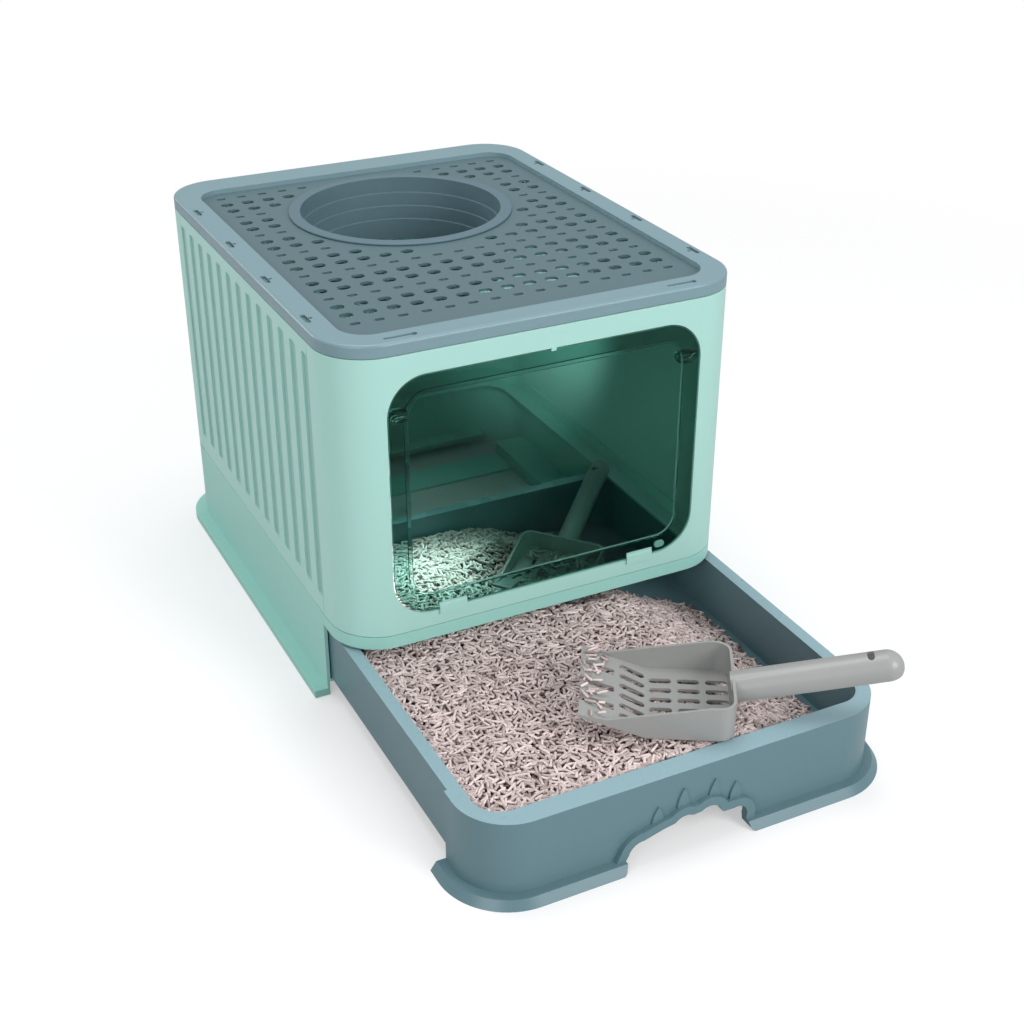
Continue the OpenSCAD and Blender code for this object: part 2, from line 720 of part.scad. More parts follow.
// one row of points across the litter at its foot
function litter_foot(j) = let (
    y = litter_y0(floor_z) + (litter_y1 - litter_y0(floor_z)) * j / litter_ny,
    w = litter_hw(y)
) [for (i = [0 : litter_nx]) [w * (2 * i / litter_nx - 1), y, floor_z + 0.1]];

module litter_bed() color(LITTER) translate([0, -drawer_open, 0]) {
    n = litter_nx + 1;
    m = n * (litter_ny + 1);
    top = [for (j = [0 : litter_ny]) each litter_top(j)];
    foot = [for (j = [0 : litter_ny]) each litter_foot(j)];
    cells = [for (j = [0 : litter_ny - 1], i = [0 : litter_nx - 1]) j * n + i];
    up = [for (k = cells) each [[k, k + n, k + n + 1], [k, k + n + 1, k + 1]]];
    down = [for (k = cells) each [[m + k, m + k + n + 1, m + k + n], [m + k, m + k + 1, m + k + n + 1]]];
    edge = concat([for (i = [0 : litter_nx - 1]) i], [for (j = [0 : litter_ny - 1]) j * n + litter_nx],
        [for (i = [litter_nx : -1 : 1]) litter_ny * n + i], [for (j = [litter_ny : -1 : 1]) j * n]);
    e = len(edge);
    side = [for (i = [0 : e - 1]) let (a = edge[i], b = edge[(i + 1) % e])
        each [[a, b, m + a], [b, m + b, m + a]]];
    polyhedron(concat(top, foot), concat(up, down, side));
}

// scoop with its origin at the middle of the foot of its back wall, handle towards +X
module scoop_body(w, k, grip, up) {
    pan = scoop_pan * k;
    ramp = scoop_ramp * k;
    tine = scoop_tine * k;
    rise = scoop_rise * k;
    h = scoop_h * k;
    x2 = -pan - ramp;
    x3 = x2 - tine;
    z3 = rise * (1 + tine / ramp);
    r = scoop_r * k;
    difference() {
        intersection() {
            linear_extrude(2 * h) scoop_plan(w, x3, r, 0);
            rotate([90, 0, 0]) linear_extrude(2 * w, center = true) polygon([[0, 0], [-pan, 0], [x2, rise],
                [x3, z3], [x3, z3 + scoop_t], [x2, rise + scoop_t + 3], [-20 * k, h], [0, h]]);
        }
        intersection() {
            linear_extrude(3 * h) scoop_plan(w, x3 - 10, r, scoop_t);
            rotate([90, 0, 0]) linear_extrude(2 * w, center = true) polygon([[1, scoop_t],
                [-pan, scoop_t], [x2, rise + scoop_t], [x3 - 5, z3 + scoop_t + 2.4],
                [x3 - 5, 2 * h], [1, 2 * h]]);
        }
        // gaps between the tines
        for (i = [-1, 0, 1]) translate([x3 - 1, i * w / 4 - 4 * k, -1]) cube([tine + 7, 8 * k, 2 * h]);
        // slots in the pan and on the ramp
        for (i = [0 : 2], j = [-2 : 2]) translate([-pan * (0.17 + 0.33 * i), j * 0.14 * w, -1])
            linear_extrude(scoop_t + 2) stadium(pan_slot * k, slot_w * k);
        for (j = [-2.5 : 2.5]) translate([-pan - ramp * 0.36, j * 0.14 * w, -1])
            linear_extrude(h / 2) rotate(-14) stadium((pan_slot + 3) * k, slot_w * k);
    }
    // rounded handle, open underneath, with a slot near its end
    hr = handle_r * min(1, 1.1 * k);
    translate([-scoop_t / 2, 0, handle_z * k]) rotate([0, -up, 0]) {
        difference() {
            intersection() {
                union() {
                    rotate([0, 90, 0]) cylinder(r = hr, h = grip - hr);
                    translate([grip - hr, 0, 0]) sphere(hr);
                }
                translate([0, -hr, -0.4 * hr]) cube([grip, 2 * hr, 2 * hr]);
            }
            translate([scoop_t + 2, 0, 0]) rotate([0, 90, 0])
                cylinder(r = hr - scoop_t, h = grip - hr - scoop_t - 2);
            translate([grip - hr, 0, 0]) sphere(hr - scoop_t);
            translate([grip - 1.8 * hr, 0, 0]) linear_extrude(2 * hr) rotate(90) stadium(slot_l * k, 6);
        }
    }
}

// plan of the scoop pan, t inside its outer face, with round rear corners
module scoop_plan(w, x3, r, t) {
    translate([x3, -w / 2 + t]) square([-x3 - r, w - 2 * t]);
    translate([-r - 1, -w / 2 + r]) square([r + 1 - t, w - 2 * r]);
    for (s = [-1, 1]) translate([-r, s * (w / 2 - r)]) circle(r - t, $fn = 48);
}

module scoop() color(SCOOP_GREY) translate([scoop_x, -hd - scoop_front, scoop_z]) rotate(scoop_turn)
    scoop_body(scoop_w, 1, handle_l, handle_up);

module inner_scoop() color(SCOOP_GREY) translate([scoop2_x, scoop2_y - drawer_open, scoop2_z])
    rotate([0, -scoop2_tilt, scoop2_turn]) scoop_body(scoop2_w, scoop2_k, handle2_l, handle2_up);

base_frame();
front_panel();
back_panel();
left_panel();
right_panel();
door();
hinge_pin_left();
hinge_pin_right();
door_catch();
lid_frame();
sieve_panel();
entry_collar();
lid_clip_left_1();
lid_clip_left_2();
lid_clip_left_3();
lid_clip_left_4();
lid_clip_right_1();
lid_clip_right_2();
lid_clip_right_3();
lid_clip_right_4();
lid_clip_front_left();
lid_clip_front_right();
drawer_tray();
litter_bed();
scoop();
inner_scoop();
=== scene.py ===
# %% [markdown]
# # Drawer litter box
#
# A cat's litter box with a round entry in its lid, a tinted door that swings up, and a drawer that pulls out.
# The housing, lid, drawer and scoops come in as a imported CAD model. This lesson gives every moulded piece its
# rounded edges and its finish, and fills the drawer with thousands of pressed pellets.

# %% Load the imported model
import json
import math

import bmesh
import bpy
import numpy as np
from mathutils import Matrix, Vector


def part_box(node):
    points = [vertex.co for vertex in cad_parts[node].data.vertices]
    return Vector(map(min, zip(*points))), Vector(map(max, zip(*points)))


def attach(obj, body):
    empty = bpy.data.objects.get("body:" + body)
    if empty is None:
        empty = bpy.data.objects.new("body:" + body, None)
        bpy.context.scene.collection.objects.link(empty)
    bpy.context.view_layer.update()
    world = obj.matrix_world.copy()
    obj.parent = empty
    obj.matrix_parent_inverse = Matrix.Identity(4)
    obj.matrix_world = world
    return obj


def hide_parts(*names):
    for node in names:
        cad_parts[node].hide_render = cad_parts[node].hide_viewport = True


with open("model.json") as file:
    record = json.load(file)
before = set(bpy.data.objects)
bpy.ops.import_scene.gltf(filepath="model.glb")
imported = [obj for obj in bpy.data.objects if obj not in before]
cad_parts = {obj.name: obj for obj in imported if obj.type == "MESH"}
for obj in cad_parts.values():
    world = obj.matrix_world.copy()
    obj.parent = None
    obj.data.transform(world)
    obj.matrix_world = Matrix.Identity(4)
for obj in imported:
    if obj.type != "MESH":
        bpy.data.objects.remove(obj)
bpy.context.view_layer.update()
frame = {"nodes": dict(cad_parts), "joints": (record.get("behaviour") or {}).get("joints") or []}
MM = 0.001

# %% [markdown]
# ## Colours and shader nodes
#
# A colour picker shows sRGB values, but a shader works with linear light, so one function turns a hex value
# into linear numbers. One more adds a shader node with its settings and links, and every material uses it.


# %% A hex colour as linear light
def linear(hex_value):
    """sRGB hex to linear RGBA: c / 12.92 below 0.04045, else ((c + 0.055) / 1.055) to the power 2.4."""
    c = np.array([int(hex_value[i : i + 2], 16) for i in (1, 3, 5)]) / 255
    lin = np.where(c <= 0.04045, c / 12.92, ((c + 0.055) / 1.055) ** 2.4)
    return (*lin.tolist(), 1.0)


print("mid grey is", [round(v, 3) for v in linear("#808080")[:3]], "in linear light")


# %% Add one shader node
def add_node(tree, kind, links=None, **settings):
    """Adds a node; links maps its inputs to values or other nodes' outputs, settings are its own fields."""
    node = tree.nodes.new(kind)
    for key, value in settings.items():
        setattr(node, key, value)
    for key, value in (links or {}).items():
        if isinstance(value, bpy.types.NodeSocket):
            tree.links.new(value, node.inputs[key])
        else:
            node.inputs[key].default_value = value
    return node


def new_material(name):
    """A material with an empty node tree and its output node."""
    material = bpy.data.materials.new(name)
    material.use_nodes = True
    tree = material.node_tree
    tree.nodes.clear()
    return material, tree, add_node(tree, "ShaderNodeOutputMaterial")


print("shader helpers ready")

# %% [markdown]
# ## Moulded polypropylene
#
# The shell, lid and drawer are injection-moulded polypropylene with a satin tool finish. Up close the surface
# is a fine spark-eroded grain of about 0.5 mm; from a distance it only softens the highlights. A bump from a
# noise of that size gives the grain, and a slow noise moves the roughness a little, as handling does. The
# floors of the flutes in the side walls take a rougher plastic of a darker colour than the walls.


# %% Satin moulded plastic
DRIFT, DRIFT_MM = 0.04, 60


def satin_plastic(name, colour, roughness, grain_mm=0.5, grain_height_mm=0.012, ior=1.49):
    """Principled plastic with a noise bump of grain_mm and a roughness that drifts by DRIFT over DRIFT_MM."""
    material, tree, out = new_material(name)
    place = add_node(tree, "ShaderNodeTexCoord").outputs["Object"]
    slow = {"Vector": place, "Scale": 1 / (DRIFT_MM * MM), "Detail": 2.0}
    drift = add_node(tree, "ShaderNodeTexNoise", slow).outputs["Fac"]
    swing = {"Value": drift, "To Min": roughness - DRIFT, "To Max": roughness + DRIFT}
    rough = add_node(tree, "ShaderNodeMapRange", swing).outputs[0]
    fine = {"Vector": place, "Scale": 1 / (grain_mm * MM), "Detail": 1.0}
    grain = add_node(tree, "ShaderNodeTexNoise", fine).outputs["Fac"]
    relief = {"Height": grain, "Distance": grain_height_mm * MM, "Strength": 0.6}
    bump = add_node(tree, "ShaderNodeBump", relief).outputs[0]
    look = {"Base Color": linear(colour), "Roughness": rough, "IOR": ior, "Normal": bump}
    shader = add_node(tree, "ShaderNodeBsdfPrincipled", look)
    tree.links.new(shader.outputs[0], out.inputs[0])
    return material


mint_shell = satin_plastic("satin moulded polypropylene, mint", "#A6D3CA", 0.34)
mint_base = satin_plastic("satin moulded polypropylene, mint base", "#98CDC3", 0.36)
# darker and rougher than the walls, for the floors of the flutes
mint_flute = satin_plastic("moulded polypropylene, darker rougher mint flute floors", "#8FB9B3", 0.5)
slate_lid = satin_plastic("satin moulded polypropylene, slate lid", "#76929A", 0.36)
slate_sieve = satin_plastic("satin moulded polypropylene, slate sieve", "#526B71", 0.46)
slate_drawer = satin_plastic("satin moulded polypropylene, slate drawer", "#5F7D85", 0.34)
# paler than the drawer's walls as a painted highlight, and smoother
slate_rim_painted_highlight = satin_plastic("satin moulded polypropylene, smooth drawer rim", "#8CA9B1", 0.28)
scoop_grey = satin_plastic("moulded ABS, warm grey", "#9A9B99", 0.34)
clip_grey = satin_plastic("moulded nylon, green grey", "#5C7278", 0.5)
fitting_pale = satin_plastic("moulded ABS, pale mint tabs", "#A6D3CA", 0.4)
pin_green = satin_plastic("moulded ABS, dark green pins", "#44766B", 0.3)
collar_dark = satin_plastic("soft moulded elastomer, slate", "#57707A", 0.55)
print("plastics:", len(bpy.data.materials))

# %% [markdown]
# ## Tinted window
#
# The door is clear polystyrene with a dark green dye. It is polished on both faces, so it shows the litter
# behind it in green, with sharp reflections. The tint sits in the transmission colour. The band around the
# pane is darker. Its rims are rougher and only half clear, and their paler green is a painted highlight along
# the edges.


# %% Tinted clear plastic
def tinted_polystyrene(name, tint, shadow_tint, roughness=0.0, ior=1.15, clear=1.0):
    """Transmissive Principled shader with the dye as its colour; shadow rays pass tinted, so light gets in.
    The index is lower than the 1.59 of polystyrene, because two thick faces would mirror the whole floor."""
    material, tree, out = new_material(name)
    look = {"Base Color": linear(tint), "Roughness": roughness, "IOR": ior, "Transmission Weight": clear}
    pane = add_node(tree, "ShaderNodeBsdfPrincipled", look)
    shadow = add_node(tree, "ShaderNodeLightPath").outputs["Is Shadow Ray"]
    passing = add_node(tree, "ShaderNodeBsdfTransparent", {"Color": linear(shadow_tint)})
    pick = add_node(tree, "ShaderNodeMixShader", {0: shadow, 1: pane.outputs[0], 2: passing.outputs[0]})
    tree.links.new(pick.outputs[0], out.inputs[0])
    return material


DOOR_DYE = "#95BEB4"
door_tint = tinted_polystyrene("polished polystyrene, dark green dye", DOOR_DYE, "#82B6AB")
band_tint = tinted_polystyrene("polished polystyrene, green dye, band", "#68A094", "#75A89E", ior=1.2)
# paler, half-opaque rims: a painted highlight on the door's edges and on its catch
edge_painted_highlight = tinted_polystyrene(
    "polystyrene edge, painted highlight", "#86C4B6", "#6FA89E", roughness=0.25, ior=1.45, clear=0.45
)
print("door dye:", [round(v, 2) for v in linear(DOOR_DYE)[:3]])

# %% [markdown]
# ## Pellet litter
#
# The litter is pressed plant fibre: short rods about 2.6 mm thick, cut at random lengths, dry and matt. Each
# pellet carries its own shade in an attribute: pale and darker ones lie side by side, and the lower layer is
# darker as painted shade. Fibres 0.6 mm wide roughen its skin, as a noise bump 0.15 mm high.


# %% Pressed fibre
def pressed_fibre(name, pale, dark, fibre_mm=0.6, relief_mm=0.15):
    """Matt rough plant fibre; the colour runs from dark to pale with the mesh attribute called shade."""
    material, tree, out = new_material(name)
    shade = add_node(tree, "ShaderNodeAttribute", attribute_name="shade")
    ends = {"Factor": shade.outputs["Fac"], "A": linear(dark), "B": linear(pale)}
    colour = add_node(tree, "ShaderNodeMix", ends, data_type="RGBA").outputs["Result"]
    place = add_node(tree, "ShaderNodeTexCoord").outputs["Object"]
    fine = {"Vector": place, "Scale": 1 / (fibre_mm * MM), "Detail": 2.0}
    fibre = add_node(tree, "ShaderNodeTexNoise", fine).outputs["Fac"]
    relief = {"Height": fibre, "Distance": relief_mm * MM, "Strength": 0.5}
    bump = add_node(tree, "ShaderNodeBump", relief).outputs[0]
    look = {"Base Color": colour, "Roughness": 0.85, "IOR": 1.45, "Normal": bump}
    shader = add_node(tree, "ShaderNodeBsdfPrincipled", look)
    tree.links.new(shader.outputs[0], out.inputs[0])
    return material


fibre_pellet = pressed_fibre("pressed plant fibre, pale", "#E6D5D2", "#65524D")
# the bed's dark colour is painted shade between the rods
fibre_bed_painted_shade = pressed_fibre("pressed plant fibre, bed in painted shade", "#4A3836", "#33262A")
print("materials in all:", len(bpy.data.materials))

# %% [markdown]
# ## Rounded edges on moulded pieces
#
# A moulded edge is never sharp, and its small radius catches the light as a fine bright line. Each CAD piece
# is copied, its loose triangles are merged into clean faces, and a Bevel modifier rounds every edge over 32
# degrees. A Weighted Normal modifier then keeps the large faces flat next to their rounded edges.


# %% Copy a CAD piece with rounded edges
SAME_POINT, SAME_PLANE, SHARP_EDGE = 1e-6, math.radians(0.6), math.radians(32)


def moulded_copy(node, radius_mm, material, body, segments=2):
    """Merges the CAD triangles, joins coplanar ones, and rounds the edges with a bevel of radius_mm."""
    source = frame["nodes"][node]
    shape = bmesh.new()
    shape.from_mesh(source.data)
    bmesh.ops.remove_doubles(shape, verts=shape.verts, dist=SAME_POINT)
    bmesh.ops.dissolve_limit(shape, angle_limit=SAME_PLANE, verts=shape.verts, edges=shape.edges)
    for face in shape.faces:
        face.smooth = True
    mesh = bpy.data.meshes.new(node + "_moulded")
    shape.to_mesh(mesh)
    shape.free()
    mesh.materials.clear()
    mesh.materials.append(material)
    piece = bpy.data.objects.new(node + "_moulded", mesh)
    bpy.context.collection.objects.link(piece)
    bevel = piece.modifiers.new("edge radius", "BEVEL")
    bevel.width = radius_mm * MM
    bevel.segments = segments
    bevel.limit_method = "ANGLE"
    bevel.angle_limit = SHARP_EDGE
    piece.modifiers.new("flat faces stay flat", "WEIGHTED_NORMAL")
    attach(piece, body)
    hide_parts(node)
    print(node, "faces:", len(mesh.polygons))
    return piece


# %% [markdown]
# ## Housing
#
# Four wall panels stand on a base moulding of the same plastic. The side walls have upright flutes, whose
# floors take a darker and rougher plastic. They are part of the wall's mesh and need no piece of their own:
# each face that looks sideways and lies 1 to 2.2 mm deep in the wall takes the second material.


# %% Housing
def in_mm(metres):
    """A place of the frame in millimetres, to the tenth."""
    return round(metres / MM, 1)


HALF_BODY = in_mm(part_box("right_panel")[1].x)
FLUTE_FLOOR, FACING = (1.0, 2.2), 0.9
for panel in ("front_panel", "back_panel"):
    moulded_copy(panel, 0.8, mint_shell, "housing")
for panel in ("left_panel", "right_panel"):
    wall = moulded_copy(panel, 0.8, mint_shell, "housing")
    wall.data.materials.append(mint_flute)
    for face in wall.data.polygons:
        depth = HALF_BODY - abs(face.center.x) / MM
        sideways = abs(face.normal.x) > FACING
        face.material_index = int(sideways and FLUTE_FLOOR[0] < depth < FLUTE_FLOOR[1])
moulded_copy("base_frame", 0.8, mint_base, "housing")

# %% [markdown]
# ## Lid
#
# The lid is a rim with a sunken sieve panel, where paws drop their litter, and a soft collar round the entry.
# The sieve has a great many holes, so its edges get a small radius of one segment, where the rest has two.

# %% Lid
moulded_copy("lid_frame", 0.7, slate_lid, "lid")
moulded_copy("sieve_panel", 0.4, slate_sieve, "lid", segments=1)
moulded_copy("entry_collar", 0.5, collar_dark, "lid")

# %% [markdown]
# ## Door
#
# The door is one moulding of four looks: a clear pane set back in it, a darker band around that, bright rims
# with a painted highlight, and two pale stop tabs at its foot. One mesh keeps it whole, and each face finds its
# material by how far forward it lies, in millimetres of y, and by the way it points. The order of the names is
# that of the slots. The small finger catch is a piece of its own with the rims' painted highlight.

# %% Door
PANE_FACES, FLAT = (-252.5, -250.1), 0.05
RIM_LINE, TAB_LINE, TABS_BELOW, EDGE_ON = -254.2, -255.6, 200.0, 0.3
PANE, BAND, TAB, PAINTED_EDGE = range(4)


def door_part(face, y):
    """Which part of the door a face belongs to, from the y in mm of its corners and the way it points."""
    if min(y) < TAB_LINE and face.center.z / MM < TABS_BELOW:
        return TAB
    if min(y) < RIM_LINE and abs(face.normal.y) < EDGE_ON:
        return PAINTED_EDGE
    if any(plane - FLAT < min(y) and max(y) < plane + FLAT for plane in PANE_FACES):
        return PANE
    return BAND


door = moulded_copy("door", 0.5, door_tint, "door")
for material in (band_tint, fitting_pale, edge_painted_highlight):
    door.data.materials.append(material)
for face in door.data.polygons:
    face.material_index = door_part(face, [door.data.vertices[i].co.y / MM for i in face.vertices])
# the catch takes the rims' paler plastic, a painted glint
moulded_copy("door_catch", 0.5, edge_painted_highlight, "door")

# %% [markdown]
# ## Pins and clips
#
# The door swings on two round pins, and ten clips hold the lid. The clips are alike and small, so a loop over
# the node names makes them all, with one segment on their edges.

# %% Hinge pins and clips
for side in ("left", "right"):
    moulded_copy("hinge_pin_" + side, 0.3, pin_green, "housing")
for clip in [n for n in frame["nodes"] if n.startswith("lid_clip")]:
    moulded_copy(clip, 0.3, clip_grey, "housing", segments=1)

# %% [markdown]
# ## Drawer and scoops
#
# The drawer is one slate moulding. The upward faces at the top of its rim take a smoother plastic, paler as a
# painted highlight. The scoops are loose, of a warm grey, and both take the same finish.

# %% Drawer and scoops
Z_RIM = in_mm(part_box("drawer_tray")[1].z)
PAINTED_HIGHLIGHT_ABOVE = Z_RIM - 0.5
tray = moulded_copy("drawer_tray", 1.0, slate_drawer, "drawer")
tray.data.materials.append(slate_rim_painted_highlight)
# upward faces at the top of the rim take the paler plastic: painted highlight, with a smoother finish
for face in tray.data.polygons:
    face.material_index = int(face.normal.z > FACING and face.center.z / MM > PAINTED_HIGHLIGHT_ABOVE)
moulded_copy("scoop", 0.6, scoop_grey, "scoop")
moulded_copy("inner_scoop", 0.6, scoop_grey, "inner_scoop")

# %% [markdown]
# ## The heap of pellets
#
# A heap of rods can be dropped by simulation, but ten thousand rigid bodies are slow. Only the top layers
# show, so the pellets are laid out in code: jittered points over the surface of the heap, two layers deep,
# each rod turned at random, with both its ends near the surface. Under them lies a bed 5 mm lower, coloured
# dark as painted shade: between the rods it stands for the shaded depth of the heap.
#
# The surface is a formula. The litter is level, but it slopes down to the right wall, and that slope lies
# further left towards the rear. It is hollow where the second scoop lies, and heaped under the first.


# %% Sizes of the basin, in mm, for the shut drawer
slide = next(joint for joint in frame["joints"] if joint["name"] == "drawer_slide")
DRAWER_OPEN = in_mm(-slide["range_m"][0])
GAP = 0.1 * MM
bed_low, bed_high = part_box("litter_bed")
HALF_W, Z_FLOOR = in_mm(bed_high.x - GAP), in_mm(bed_low.z - GAP)
Y_FRONT, Y_REAR = -235.0, in_mm(bed_high.y - GAP + DRAWER_OPEN * MM)
CORNER, LEAN, WALL_GAP = 24.0, 31.0, 0.5
print("basin:", 2 * HALF_W, "by", Y_REAR - Y_FRONT, "mm, floor at", Z_FLOOR, "mm")

# %% Sizes of the litter: pairs are from and to, or along x and along y
Z_LITTER, Z_HEAP, Z_LOW, Z_HOLLOW = 71.0, 80.0, 23.0, 41.5
CREST = Z_HEAP - 0.8
SLOPE_X, SHIFT_Y, SHIFT = (60, 182), (20, 110), 60
REAR_Y, REAR_FALL = (130, 235), 0.3
HEAP_X, HEAP_Y, HEAP_SPREAD = 20, -180, (75, 70)
SCOOP_X, SCOOP_Y, SCOOP_TURN = 86, 139, 41
HOLLOW_BACK, HOLLOW_HALF, HOLLOW_EDGE, HOLLOW_Y = 44.2, (49.2, 53), (1, 1.6), (12, 38)
print("litter from", Z_LOW, "to", Z_HEAP, "mm")


# %% Shape of the heap
def ease(v, a, b):
    """0 below a, 1 above b, and the smooth step 3 t^2 - 2 t^3 between them."""
    t = np.clip((v - a) / (b - a), 0, 1)
    return t * t * (3 - 2 * t)


def heap_height(x, y):
    """Height in mm at x, y of the shut drawer: a level bed that falls to the right wall and to the rear, less
    a hollow in an oval of the fourth power, (u^4 + v^4)^(1/4) < 1, turned as the second scoop is, plus a
    bell-shaped heap, exp(-p^2 - q^2), under the first scoop."""
    side = 1 - ease(x + SHIFT * ease(y, *SHIFT_Y), *SLOPE_X)
    level = Z_LOW + (Z_LITTER - Z_LOW) * side * (1 - REAR_FALL * ease(y, *REAR_Y))
    c, s = math.cos(math.radians(SCOOP_TURN)), math.sin(math.radians(SCOOP_TURN))
    u = ((x - SCOOP_X) * c + (y - SCOOP_Y) * s + HOLLOW_BACK) / HOLLOW_HALF[0]
    v = ((y - SCOOP_Y) * c - (x - SCOOP_X) * s) / HOLLOW_HALF[1]
    hollow = (1 - ease((u**4 + v**4) ** 0.25, *HOLLOW_EDGE)) * ease(y, *HOLLOW_Y)
    p, q = (x - HEAP_X) / HEAP_SPREAD[0], (y - HEAP_Y) / HEAP_SPREAD[1]
    heap = (Z_HEAP - Z_LITTER) * np.exp(-(p**2) - q**2)
    dug = level - np.maximum(0, level - Z_HOLLOW) * hollow
    return np.minimum(CREST, dug + heap * (1 + side) / 2)


def front_wall(z):
    """Place in y of the basin's leaning front wall at height z, less a gap."""
    return Y_FRONT + WALL_GAP + LEAN * (Z_RIM - z) / (Z_RIM - Z_FLOOR)


def half_width(y):
    """Half the basin's width at y, less round its corners: r - sqrt(r^2 - c^2) at c into the corner."""
    c = np.clip(CORNER - np.minimum(y - Y_FRONT, Y_REAR - y), 0, CORNER)
    return HALF_W - CORNER + np.sqrt(CORNER**2 - c**2)


print("litter at the left:", heap_height(-100.0, 0.0), "mm, at the right:", heap_height(170.0, 0.0), "mm")


# %% Mesh from arrays
def mesh_piece(name, points_mm, faces, material, body, shade=None):
    """A mesh object from an N x 3 array in mm and a list of face arrays, with an optional value per point."""
    mesh = bpy.data.meshes.new(name)
    mesh.from_pydata((points_mm * MM).tolist(), [], [f for block in faces for f in block.tolist()])
    mesh.polygons.foreach_set("use_smooth", np.ones(len(mesh.polygons), bool))
    if shade is not None:
        values = mesh.attributes.new("shade", "FLOAT", "POINT").data
        values.foreach_set("value", shade.astype(np.float32))
    mesh.materials.append(material)
    mesh.update()
    piece = bpy.data.objects.new(name, mesh)
    bpy.context.collection.objects.link(piece)
    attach(piece, body)
    return piece


print("mesh helper ready")


# %% Dark bed of painted shade under the pellets
BED_SHORT, FOOT_Z, THIN_Z = 18, Z_FLOOR + 0.1, Z_FLOOR + 0.4


def bed_edge(y):
    """Where the bed ends at the right, short of the slope's foot: beyond it lies one layer of rods."""
    return SLOPE_X[1] - BED_SHORT - SHIFT * ease(y, *SHIFT_Y)


def litter_under_bed(nx=48, ny=64, sink=5.0):
    """Closed bed: a grid of points on the heap less sink mm, a grid on the floor, and a band joining them."""
    i, j = np.meshgrid(np.linspace(-1, 1, nx + 1), np.linspace(0, 1, ny + 1))
    start = front_wall(Z_LITTER)
    x = i * half_width(start + (Y_REAR - start) * j)
    first = front_wall(heap_height(x, np.full_like(x, start)))
    y = first + (Y_REAR - first) * j
    x = np.minimum(x, bed_edge(y))
    top = np.stack([x, y, np.maximum(heap_height(x, y) - sink, THIN_Z)], 2).reshape(-1, 3)
    start = front_wall(Z_FLOOR)
    y = start + (Y_REAR - start) * j
    x = np.minimum(i * half_width(y), bed_edge(y))
    foot = np.stack([x, y, np.full_like(y, FOOT_Z)], 2).reshape(-1, 3)
    index = np.arange(len(top)).reshape(ny + 1, nx + 1)
    a, b, c, d = index[:-1, :-1], index[:-1, 1:], index[1:, 1:], index[1:, :-1]
    up = np.stack([a, b, c, d], 2).reshape(-1, 4)
    down = np.stack([a, d, c, b], 2).reshape(-1, 4) + len(top)
    ring = np.concatenate([index[0, :-1], index[:-1, -1], index[-1, :0:-1], index[:0:-1, 0]])
    after = np.roll(ring, -1)
    band = np.stack([ring, ring + len(top), after + len(top), after], 1)
    points = np.concatenate([top, foot]) - (0, DRAWER_OPEN, 0)
    shade = np.zeros(len(points))
    return mesh_piece("litter_under_bed", points, [up, down, band], fibre_bed_painted_shade, "drawer", shade)


under_bed = litter_under_bed()
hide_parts("litter_bed")
print("bed faces:", len(under_bed.data.polygons))

# %% [markdown]
# ## Laying the rods
#
# Each rod is a tube of five sides with slightly narrowed ends, 17 faces in all, because it is repeated many
# thousand times. All rods of a layer are computed as arrays: middle, heading and length first, then both ends
# dropped on the heap, pushed in from the walls, and last the rings of points round the line between them.

# %% Rods as arrays
rng = np.random.default_rng(7)
SPACING, ROD_R, HALF_LENGTHS = 4.5, 1.3, (2.8, 6.2)
LEAST_LITTER, FLOOR_GAP, TOP_GAP, WALL_BELOW = 1.75, 0.2, 0.6, 2


def lay_rods(sink, wobble):
    """Ends A and B, N x 3 each in mm, of the rods of one layer whose middles lie sink mm under the surface.
    The front wall leans in further down, so it is met WALL_BELOW mm under a rod's middle."""
    gx, gy = np.meshgrid(np.arange(-HALF_W, HALF_W, SPACING), np.arange(Y_FRONT, Y_REAR, SPACING))
    x = gx.ravel() + rng.uniform(-0.5, 0.5, gx.size) * SPACING
    y = gy.ravel() + rng.uniform(-0.5, 0.5, gx.size) * SPACING
    half = rng.uniform(*HALF_LENGTHS, x.size)
    heading = rng.uniform(0, math.pi, x.size)
    dx, dy = half * np.cos(heading), half * np.sin(heading)
    reach = np.abs(dx) + ROD_R
    x = np.clip(x, reach - HALF_W, HALF_W - reach)
    reach = np.abs(dy) + ROD_R
    y = np.clip(y, front_wall(heap_height(x, y) - sink - WALL_BELOW) + reach, Y_REAR - reach)
    room = half_width(np.where(y > 0, y + np.abs(dy), y - np.abs(dy))) - np.abs(dx) - ROD_R
    x = np.clip(x, -room, room)
    level = heap_height(x, y)
    keep = level > Z_FLOOR + LEAST_LITTER
    ends = []
    for sign in (-1, 1):
        ex, ey = x + sign * dx, y + sign * dy
        ez = 0.5 * (heap_height(ex, ey) + level) - sink + rng.uniform(-wobble, wobble, x.size)
        ez = np.clip(ez, Z_FLOOR + ROD_R + FLOOR_GAP, Z_HEAP - ROD_R - TOP_GAP)
        ends.append(np.stack([ex, ey, ez], 1)[keep])
    return ends


print("rods:", 2 * ROD_R, "mm thick and", 2 * HALF_LENGTHS[0], "to", 2 * HALF_LENGTHS[1], "mm long")

# %% Tubes round the lines
SIDES = 5
RINGS = ((0.0, 0.72), (0.08, 1.0), (0.92, 1.0), (1.0, 0.72))
POINTS_PER_ROD = len(RINGS) * SIDES


def rod_points(a, b, radius):
    """Rings of points a + (b - a) t + r (cos(k) across + sin(k) upright), where RINGS gives t and the share
    of the radius, and k runs round in SIDES steps from a random start."""
    along = b - a
    along /= np.linalg.norm(along, axis=1, keepdims=True)
    across = np.cross(along, (0.0, 0.0, 1.0))
    across /= np.linalg.norm(across, axis=1, keepdims=True)
    upright = np.cross(across, along)
    turn = np.arange(SIDES) * 2 * math.pi / SIDES + rng.uniform(0, 2, (len(a), 1))
    circle = np.cos(turn)[..., None] * across[:, None] + np.sin(turn)[..., None] * upright[:, None]
    rings = []
    for share, narrow in RINGS:
        rings.append((a + (b - a) * share)[:, None] + circle * (radius * narrow)[:, None, None])
    return np.stack(rings, 1).reshape(-1, 3)


